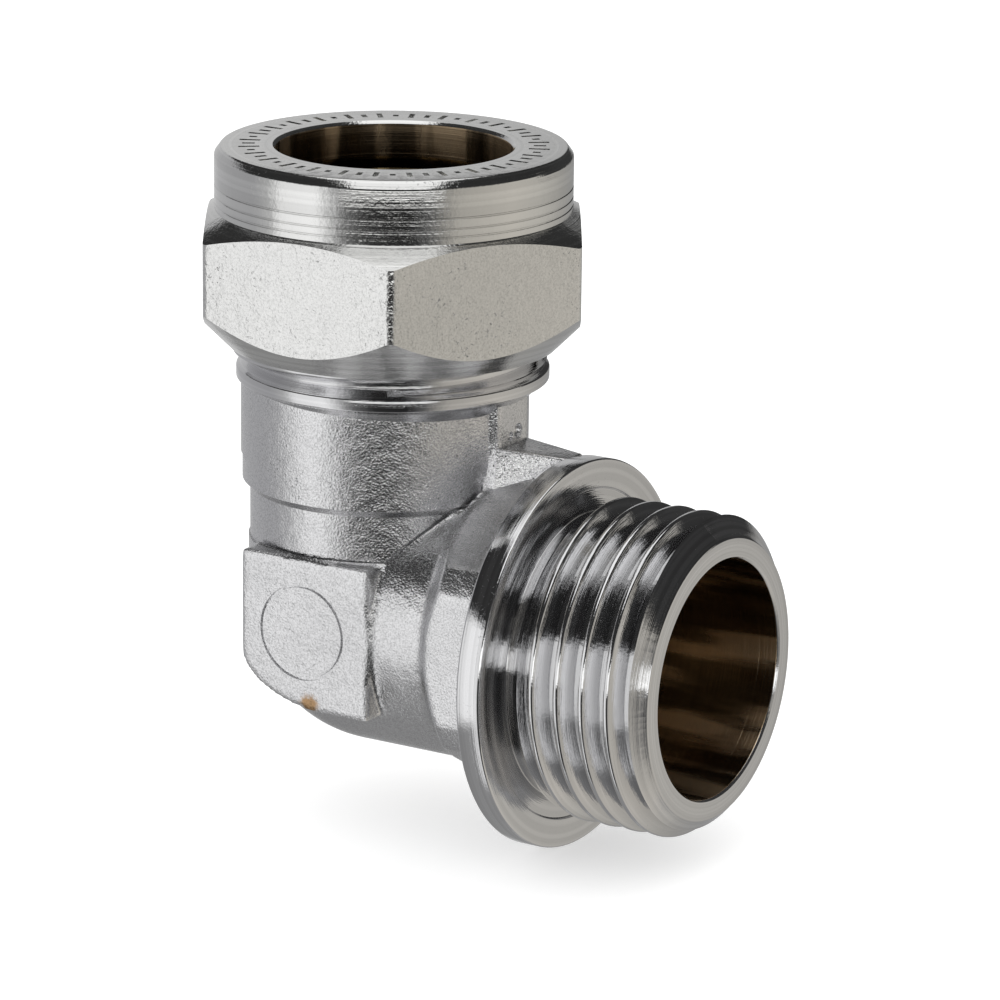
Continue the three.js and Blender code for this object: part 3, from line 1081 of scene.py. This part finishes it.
def forged_skin_group():
    """Orange-peel skin and small pits of a plated forging."""
    name = "Forged skin"
    if name in bpy.data.node_groups:
        return bpy.data.node_groups[name]
    group, given, out = new_group(
        name,
        (
            ("Position", "NodeSocketVector", None),
            ("Peel Size", "NodeSocketFloat", 0.00045),
            ("Peel", "NodeSocketFloat", 1.0),
            ("Pitting", "NodeSocketFloat", 0.5),
        ),
        (
            ("Height", "NodeSocketFloat"),
            ("Pits", "NodeSocketFloat"),
            ("Grain", "NodeSocketFloat"),
            ("Mottle", "NodeSocketFloat"),
        ),
    )
    position = given.outputs["Position"]
    scale = math_node(group, "DIVIDE", 1.0, given.outputs["Peel Size"])
    peel = noise_node(group, position, scale, detail=2.0, roughness=0.5)
    waves = noise_node(group, position, WAVE_SCALE, detail=1.0)
    cluster = noise_node(group, position, PIT_CLUSTER_SCALE, detail=2.0)
    specks = noise_node(group, position, PIT_SCALE, detail=3.0, roughness=0.7)
    speck_mask = band(group, specks, 0.62, 0.70)
    cluster_mask = band(group, cluster, 0.45, 0.7)
    pits = math_node(group, "MULTIPLY", speck_mask, cluster_mask)
    pits = math_node(group, "MULTIPLY", pits, given.outputs["Pitting"])
    peel = math_node(group, "ADD", peel, math_node(group, "MULTIPLY", waves, 1.5))
    peel = math_node(group, "MULTIPLY", peel, given.outputs["Peel"])
    height = math_node(group, "SUBTRACT", peel, pits)
    grain = noise_node(group, position, GRAIN_SCALE, detail=3.0, roughness=0.65)
    mottle = noise_node(group, position, MOTTLE_SCALE, detail=3.0)
    group.links.new(height, out.inputs["Height"])
    group.links.new(pits, out.inputs["Pits"])
    group.links.new(band(group, grain, 0.34, 0.58), out.inputs["Grain"])
    group.links.new(mottle, out.inputs["Mottle"])
    return group


def turning_lines_group():
    """Fine rings that a turning tool leaves round the Z axis of the position it is given."""
    name = "Turning lines"
    if name in bpy.data.node_groups:
        return bpy.data.node_groups[name]
    group, given, out = new_group(
        name,
        (
            ("Position", "NodeSocketVector", None),
            ("Line Width", "NodeSocketFloat", 0.00008),
        ),
        (
            ("Height", "NodeSocketFloat"),
            ("Lines", "NodeSocketFloat"),
            ("Radius", "NodeSocketFloat"),
            ("Along", "NodeSocketFloat"),
        ),
    )
    split = group.nodes.new("ShaderNodeSeparateXYZ")
    group.links.new(given.outputs["Position"], split.inputs[0])
    square_x = math_node(group, "MULTIPLY", split.outputs[0], split.outputs[0])
    square_y = math_node(group, "MULTIPLY", split.outputs[1], split.outputs[1])
    radius = math_node(group, "SQRT", math_node(group, "ADD", square_x, square_y))
    rings = group.nodes.new("ShaderNodeCombineXYZ")
    group.links.new(radius, rings.inputs[0])
    group.links.new(split.outputs[2], rings.inputs[1])
    scale = math_node(group, "DIVIDE", 1.0, given.outputs["Line Width"])
    fine = noise_node(group, rings.outputs[0], scale, detail=2.0, roughness=0.6)
    coarse_scale = math_node(group, "MULTIPLY", scale, 0.22)
    coarse = noise_node(group, rings.outputs[0], coarse_scale, detail=2.0)
    height = math_node(group, "ADD", fine, math_node(group, "MULTIPLY", coarse, 0.8))
    group.links.new(height, out.inputs["Height"])
    group.links.new(band(group, coarse, 0.42, 0.6), out.inputs["Lines"])
    group.links.new(radius, out.inputs["Radius"])
    group.links.new(split.outputs[2], out.inputs["Along"])
    return group


def new_metal(name):
    """A metal's material, its node tree and the position on its piece."""
    material = bpy.data.materials.new(name)
    material.use_nodes = True
    tree = material.node_tree
    tree.nodes["Principled BSDF"].inputs["Metallic"].default_value = 1.0
    coordinate = tree.nodes.new("ShaderNodeTexCoord")
    return material, tree, coordinate.outputs["Object"]


def finish_metal(tree, base, roughness, normal):
    """Feeds a metal's shader."""
    shader = tree.nodes["Principled BSDF"]
    tree.links.new(base, shader.inputs["Base Color"])
    tree.links.new(roughness, shader.inputs["Roughness"])
    tree.links.new(normal, shader.inputs["Normal"])


def about_axis(tree, position, axis):
    """The position measured from the axes' crossing, with the given axis turned to Z."""
    moved = tree.nodes.new("ShaderNodeMapping")
    moved.vector_type = "POINT"
    tree.links.new(position, moved.inputs["Vector"])
    moved.inputs["Location"].default_value = -AXES_CROSSING * MM
    if axis == "Z":
        return moved.outputs[0]
    turned_over = tree.nodes.new("ShaderNodeMapping")
    tree.links.new(moved.outputs[0], turned_over.inputs["Vector"])
    turned_over.inputs["Rotation"].default_value = (0, math.radians(-90), 0)
    return turned_over.outputs[0]


def group_node(tree, group, position, **values):
    """The group placed in a material, with its own values."""
    node = tree.nodes.new("ShaderNodeGroup")
    node.node_tree = group
    tree.links.new(position, node.inputs["Position"])
    for label, value in values.items():
        node.inputs[label.replace("_", " ")].default_value = value
    return node


def bump_node(tree, height, distance, normal=None):
    """A Bump node at full strength; its distance is in metres."""
    node = tree.nodes.new("ShaderNodeBump")
    node.inputs["Strength"].default_value = 1.0
    node.inputs["Distance"].default_value = distance
    tree.links.new(height, node.inputs["Height"])
    if normal is not None:
        tree.links.new(normal, node.inputs["Normal"])
    return node.outputs[0]


def mixed_colour(tree, factor, first, second):
    """A colour between two, each a socket or a value."""
    node = tree.nodes.new("ShaderNodeMix")
    node.data_type = "RGBA"
    tree.links.new(factor, node.inputs["Factor"])
    for socket, value in ((node.inputs[6], first), (node.inputs[7], second)):
        if isinstance(value, bpy.types.NodeSocket):
            tree.links.new(value, socket)
        else:
            socket.default_value = (*value, 1.0)
    return node.outputs[2]


def shaded(colour, share):
    """The colour made darker by a share."""
    return tuple(channel * share for channel in colour)


def worn_spot(tree, position):
    """1 on the small spot low on the near cheek where bare brass shows, and 0 elsewhere."""
    reach = tree.nodes.new("ShaderNodeVectorMath")
    reach.operation = "DISTANCE"
    tree.links.new(position, reach.inputs[0])
    reach.inputs[1].default_value = (AXES_CROSSING + Vector(WORN_SPOT)) * MM
    ragged = noise_node(tree, position, WORN_EDGE_SCALE, detail=3.0)
    edge = math_node(tree, "MULTIPLY", ragged, 0.9 * MM)
    inside = math_node(tree, "SUBTRACT", edge, reach.outputs["Value"])
    return band(tree, inside, -0.4 * MM, 0.1 * MM)


def forged_plating(name, colour):
    """Chrome over the forging's skin: fine grain and small dark pits, most on the column."""
    material, tree, position = new_metal(name)
    skin = group_node(tree, forged_skin_group(), position, Peel_Size=FORGED_GRAIN_SIZE, Peel=1.0)
    split = tree.nodes.new("ShaderNodeSeparateXYZ")
    tree.links.new(position, split.inputs[0])
    cheek_top = (OUTLET_AXIS_Z + CHEEK_TOP_Z) * MM
    pitting = band(tree, split.outputs[2], cheek_top, cheek_top + 2 * MM, 0.3, 1.0)
    tree.links.new(pitting, skin.inputs["Pitting"])
    base = mixed_colour(tree, skin.outputs["Grain"], shaded(colour, 0.78), colour)
    base = mixed_colour(tree, skin.outputs["Pits"], base, shaded(colour, 0.12))
    base = mixed_colour(tree, worn_spot(tree, position), base, WORN_COLOUR)
    roughness = band(tree, skin.outputs["Mottle"], 0.3, 0.7, *FORGED_ROUGHNESS)
    finish_metal(tree, base, roughness, bump_node(tree, skin.outputs["Height"], FORGED_HEIGHT))
    return material


def thread_root_painted_shade(tree, lines):
    """1 in the roots of the outlet's thread, where shade is painted into the plating's colour as a
    darker tone.
    """
    root = (OUTLET_ROOT_RADIUS + 0.1) * MM
    crest = (OUTLET_CREST_RADIUS - 0.15) * MM
    deep = band(tree, lines.outputs["Radius"], root, crest, 1.0, 0.0)
    end = OUTLET_END_X * MM
    clear_of_end = band(tree, lines.outputs["Along"], end - 1.2 * MM, end - 0.6 * MM, 1.0, 0.0)
    return math_node(tree, "MULTIPLY", deep, clear_of_end)


def turned_plating(name, colour, axis, peel_height):
    """Bright chrome over turned brass: fine rings round the axis under a faint orange peel."""
    material, tree, position = new_metal(name)
    centred = about_axis(tree, position, axis)
    lines = group_node(tree, turning_lines_group(), centred, Line_Width=TURNING_LINE_WIDTH)
    skin = group_node(
        tree, forged_skin_group(), position, Peel_Size=PEEL_SIZE, Peel=0.5, Pitting=0.3
    )
    base = mixed_colour(tree, lines.outputs["Lines"], shaded(colour, 0.88), colour)
    base = mixed_colour(tree, skin.outputs["Pits"], base, shaded(colour, 0.5))
    if axis == "X":
        # Painted shade: the outlet's thread roots are darkened in the base colour.
        base = mixed_colour(tree, thread_root_painted_shade(tree, lines), base, shaded(colour, 0.72))
    roughness = band(tree, lines.outputs["Lines"], 0.0, 1.0, *TURNED_ROUGHNESS)
    rings = bump_node(tree, lines.outputs["Height"], TURNING_LINE_HEIGHT)
    peel = bump_node(tree, skin.outputs["Height"], peel_height, rings)
    finish_metal(tree, base, roughness, peel)
    return material


def bar_plating(name, colour):
    """Chrome over drawn bar: a satin grain with shallow dimples and a few dark specks."""
    material, tree, position = new_metal(name)
    skin = group_node(
        tree, forged_skin_group(), position, Peel_Size=PEEL_SIZE, Peel=0.8, Pitting=0.8
    )
    base = mixed_colour(tree, skin.outputs["Grain"], shaded(colour, 0.82), colour)
    base = mixed_colour(tree, skin.outputs["Pits"], base, shaded(colour, 0.3))
    roughness = band(tree, skin.outputs["Mottle"], 0.3, 0.7, *BAR_ROUGHNESS)
    finish_metal(tree, base, roughness, bump_node(tree, skin.outputs["Height"], BAR_HEIGHT))
    return material


def bore_brass(name, colour, axis):
    """Bare brass that the plating has run into, in streaks along the bore over fine tool rings."""
    material, tree, position = new_metal(name)
    centred = about_axis(tree, position, axis)
    along = tree.nodes.new("ShaderNodeMapping")
    tree.links.new(centred, along.inputs["Vector"])
    along.inputs["Scale"].default_value = (1, 1, 0.14)
    streaks = noise_node(tree, along.outputs[0], STREAK_SCALE, detail=3.0)
    lines = group_node(tree, turning_lines_group(), centred, Line_Width=BORE_LINE_WIDTH)
    base = mixed_colour(tree, band(tree, streaks, 0.44, 0.60), shaded(colour, 0.2), colour)
    roughness = band(tree, streaks, 0.35, 0.65, *BORE_ROUGHNESS)
    finish_metal(tree, base, roughness, bump_node(tree, lines.outputs["Height"], BORE_LINE_HEIGHT))
    return material


# ---- Stage -----------------------------------------------------------------------------------

CAMERA_AZIMUTH = math.radians(58.54)
CAMERA_ELEVATION = math.radians(15.57)
CAMERA_ROLL = math.radians(0.68)
CAMERA_DISTANCE = 343.4
CAMERA_AIM_RIGHT = 7.143
CAMERA_AIM_UP = 7.682
CAMERA_LENS = 187.96
CAMERA_SENSOR = 36.0


def build_camera():
    """The camera, aimed past the axes' crossing from the front and a little above."""
    back = Vector(
        (
            math.cos(CAMERA_ELEVATION) * math.cos(CAMERA_AZIMUTH),
            -math.cos(CAMERA_ELEVATION) * math.sin(CAMERA_AZIMUTH),
            math.sin(CAMERA_ELEVATION),
        )
    )
    level = Vector((math.sin(CAMERA_AZIMUTH), math.cos(CAMERA_AZIMUTH), 0))
    upright = back.cross(level)
    right = math.cos(CAMERA_ROLL) * level + math.sin(CAMERA_ROLL) * upright
    up = math.cos(CAMERA_ROLL) * upright - math.sin(CAMERA_ROLL) * level
    aim = AXES_CROSSING + right * CAMERA_AIM_RIGHT + up * CAMERA_AIM_UP
    place = (aim + back * CAMERA_DISTANCE) * MM
    data = bpy.data.cameras.new("Camera")
    data.lens = CAMERA_LENS
    data.sensor_width = CAMERA_SENSOR
    data.clip_start = 0.01
    data.clip_end = 20
    camera = bpy.data.objects.new("Camera", data)
    bpy.context.scene.collection.objects.link(camera)
    turn = Matrix((right, up, back)).transposed().to_4x4()
    camera.matrix_world = Matrix.Translation(place) @ turn
    bpy.context.scene.camera = camera


def build_floor(settings):
    """A plain pale floor."""
    bm = bmesh.new()
    bmesh.ops.create_grid(bm, x_segments=1, y_segments=1, size=3)
    floor = new_object("Floor", bm)
    material = bpy.data.materials.new("Floor")
    material.use_nodes = True
    shader = material.node_tree.nodes["Principled BSDF"]
    shader.inputs["Base Color"].default_value = (*settings.floor, 1)
    shader.inputs["Roughness"].default_value = 0.6
    shader.inputs["Specular IOR Level"].default_value = 0.0
    shader.inputs["Emission Color"].default_value = (1, 1, 1, 1)
    shader.inputs["Emission Strength"].default_value = settings.floor_glow
    floor.data.materials.append(material)
    floor.visible_glossy = False


# Colours of the studio's parts.
FRONT_GLOW = (1.4, 1.4, 1.38)
SIDE_SHADE = (0.04, 0.04, 0.04)
LOW_BACK = (0.28, 0.28, 0.28)
DARK_BAND = (0.03, 0.03, 0.03)
BELOW = (0.3, 0.3, 0.3)
PANEL = (1.1, 1.1, 1.1)
ROOM_LIGHT = (1.12, 1.12, 1.12)  # what all rays but mirror-like ones meet

# Where each edge of the panel overhead fades, measured against the panel's height; the last is
# how steeply a ray must rise to meet it.
PANEL_BACK_EDGE = (-0.62, -0.5)
PANEL_FRONT_EDGE = (0.75, 0.9)
PANEL_SIDE_EDGES = (0.38, 0.5)
PANEL_LEAST_RISE = (0.3, 0.4)

# Brightness round the horizon as the plating sees it: degrees from +X towards +Y, and a colour.
HORIZON = (
    (-180, (0.40, 0.40, 0.41)),
    (-158, (0.38, 0.38, 0.39)),
    (-143, (0.50, 0.50, 0.50)),
    (-134, (0.95, 0.95, 0.95)),
    (-108, (1.05, 1.05, 1.05)),
    (-98, (0.60, 0.60, 0.60)),
    (-88, (0.16, 0.16, 0.16)),
    (-72, (0.03, 0.03, 0.03)),
    (-46, (0.02, 0.02, 0.02)),
    (-34, (0.12, 0.12, 0.12)),
    (-16, (0.46, 0.44, 0.40)),
    (24, (0.58, 0.55, 0.50)),
    (50, (0.52, 0.50, 0.46)),
    (80, (0.38, 0.37, 0.35)),
    (108, (0.30, 0.30, 0.30)),
    (128, (0.60, 0.60, 0.60)),
    (152, (0.46, 0.46, 0.47)),
    (180, (0.40, 0.40, 0.41)),
)


def horizon_colour(tree, direction):
    """The colour that the studio has at a direction's azimuth."""
    turn = math_node(tree, "ARCTAN2", direction.outputs[1], direction.outputs[0])
    share = math_node(tree, "ADD", math_node(tree, "DIVIDE", turn, 2 * math.pi), 0.5)
    ramp = tree.nodes.new("ShaderNodeValToRGB")
    tree.links.new(share, ramp.inputs[0])
    stops = ramp.color_ramp.elements
    stops.remove(stops[1])
    for index, (degrees, colour) in enumerate(HORIZON):
        place = degrees / 360 + 0.5
        stop = stops[0] if index == 0 else stops.new(place)
        stop.position = place
        stop.color = (*colour, 1)
    return ramp.outputs[0]


def toward(tree, direction, azimuth):
    """How far a direction points to the given azimuth, from -1 to 1."""
    along_x = math_node(tree, "MULTIPLY", direction.outputs[0], math.cos(azimuth))
    along_y = math_node(tree, "MULTIPLY", direction.outputs[1], math.sin(azimuth))
    return math_node(tree, "ADD", along_x, along_y)


def overhead_panel(tree, direction):
    """1 where a direction meets the soft panel that hangs over the fitting, and 0 elsewhere."""
    forward = Vector((math.cos(CAMERA_AZIMUTH), -math.sin(CAMERA_AZIMUTH)))
    height = math_node(tree, "MAXIMUM", direction.outputs[2], 0.05)
    along_x = math_node(tree, "DIVIDE", direction.outputs[0], height)
    along_y = math_node(tree, "DIVIDE", direction.outputs[1], height)
    ahead = math_node(
        tree,
        "ADD",
        math_node(tree, "MULTIPLY", along_x, forward.x),
        math_node(tree, "MULTIPLY", along_y, forward.y),
    )
    aside = math_node(
        tree,
        "SUBTRACT",
        math_node(tree, "MULTIPLY", along_y, forward.x),
        math_node(tree, "MULTIPLY", along_x, forward.y),
    )
    mask = band(tree, ahead, *PANEL_BACK_EDGE)
    for edge in (
        band(tree, ahead, *PANEL_FRONT_EDGE, 1.0, 0.0),
        band(tree, math_node(tree, "ABSOLUTE", aside), *PANEL_SIDE_EDGES, 1.0, 0.0),
        band(tree, direction.outputs[2], *PANEL_LEAST_RISE),
    ):
        mask = math_node(tree, "MULTIPLY", mask, edge)
    return mask


def angle_band(tree, angle, low, high, out_low=0.0, out_high=1.0):
    """A smooth step of an angle from low to high, in degrees."""
    return band(tree, angle, math.radians(low), math.radians(high), out_low, out_high)


def build_world(settings):
    """White behind the fitting, and a soft studio all round for its reflections."""
    world = bpy.data.worlds.new("Studio")
    bpy.context.scene.world = world
    world.use_nodes = True
    tree = world.node_tree
    coordinate = tree.nodes.new("ShaderNodeTexCoord")
    direction = tree.nodes.new("ShaderNodeSeparateXYZ")
    tree.links.new(coordinate.outputs["Generated"], direction.inputs[0])
    elevation = math_node(tree, "ARCSINE", direction.outputs[2])
    front_glow = band(tree, toward(tree, direction, -CAMERA_AZIMUTH), 0.80, 0.90)
    for edge in (
        angle_band(tree, elevation, -6, -1.5),
        angle_band(tree, elevation, 9, 14, 1.0, 0.0),
    ):
        front_glow = math_node(tree, "MULTIPLY", front_glow, edge)
    side_shade = math_node(
        tree,
        "MULTIPLY",
        band(tree, toward(tree, direction, math.radians(80)), 0.83, 0.88),
        angle_band(tree, elevation, -6, 2),
    )
    low_back = math_node(
        tree,
        "MULTIPLY",
        angle_band(tree, elevation, -34, -24, 1.0, 0.0),
        band(tree, direction.outputs[0], -0.42, -0.28, 1.0, 0.0),
    )
    colour = horizon_colour(tree, direction)
    for mask, part_colour in (
        (front_glow, FRONT_GLOW),
        (side_shade, SIDE_SHADE),
        (low_back, LOW_BACK),
        (angle_band(tree, elevation, 20, 26), DARK_BAND),
        (angle_band(tree, elevation, -72, -60, 1.0, 0.0), BELOW),
        (overhead_panel(tree, direction), PANEL),
    ):
        colour = mixed_colour(tree, mask, colour, part_colour)
    path = tree.nodes.new("ShaderNodeLightPath")
    colour = mixed_colour(tree, path.outputs["Is Glossy Ray"], ROOM_LIGHT, colour)
    background = tree.nodes["Background"]
    tree.links.new(colour, background.inputs["Color"])
    background.inputs["Strength"].default_value = settings.brightness


def build_stage(settings):
    """Camera, floor, light and view."""
    build_camera()
    build_floor(settings)
    build_world(settings)
    bpy.context.scene.view_settings.view_transform = "Standard"


# ---- Operators and panel ---------------------------------------------------------------------


class FITTING_OT_body(Operator):
    """Build the elbow body in its place."""

    bl_idname = "fitting.body"
    bl_label = "Elbow Body"

    def execute(self, context):
        build_body(context.scene.fitting_body)
        return {"FINISHED"}


class FITTING_OT_nut(Operator):
    """Build the compression nut in its place."""

    bl_idname = "fitting.nut"
    bl_label = "Compression Nut"

    def execute(self, context):
        build_nut(context.scene.fitting_nut)
        return {"FINISHED"}


class FITTING_OT_olive(Operator):
    """Build the olive in its place."""

    bl_idname = "fitting.olive"
    bl_label = "Olive"

    def execute(self, context):
        build_olive(context.scene.fitting_olive)
        return {"FINISHED"}


class FITTING_OT_stage(Operator):
    """Set up the camera, floor and studio light."""

    bl_idname = "fitting.stage"
    bl_label = "Stage"

    def execute(self, context):
        build_stage(context.scene.fitting_stage)
        return {"FINISHED"}


class FITTING_PT_sidebar(Panel):
    """The fitting's pieces and their settings."""

    bl_idname = "FITTING_PT_sidebar"
    bl_label = "Compression Fitting"
    bl_space_type = "VIEW_3D"
    bl_region_type = "UI"
    bl_category = "Fitting"

    def draw(self, context):
        for operator, settings in (
            (FITTING_OT_body, context.scene.fitting_body),
            (FITTING_OT_nut, context.scene.fitting_nut),
            (FITTING_OT_olive, context.scene.fitting_olive),
            (FITTING_OT_stage, context.scene.fitting_stage),
        ):
            box = self.layout.box()
            for name in settings.__annotations__:
                box.prop(settings, name)
            box.operator(operator.bl_idname)


SETTINGS = {
    "fitting_body": FittingBodySettings,
    "fitting_nut": FittingNutSettings,
    "fitting_olive": FittingOliveSettings,
    "fitting_stage": FittingStageSettings,
}
CLASSES = (
    *SETTINGS.values(),
    FITTING_OT_body,
    FITTING_OT_nut,
    FITTING_OT_olive,
    FITTING_OT_stage,
    FITTING_PT_sidebar,
)


def register():
    for each in CLASSES:
        bpy.utils.register_class(each)
    for name, settings in SETTINGS.items():
        setattr(bpy.types.Scene, name, PointerProperty(type=settings))


def unregister():
    for name in SETTINGS:
        delattr(bpy.types.Scene, name)
    for each in reversed(CLASSES):
        bpy.utils.unregister_class(each)


def main():
    register()
    bpy.ops.fitting.body()
    bpy.ops.fitting.nut()
    bpy.ops.fitting.olive()
    bpy.ops.fitting.stage()


if __name__ == "__main__":
    main()
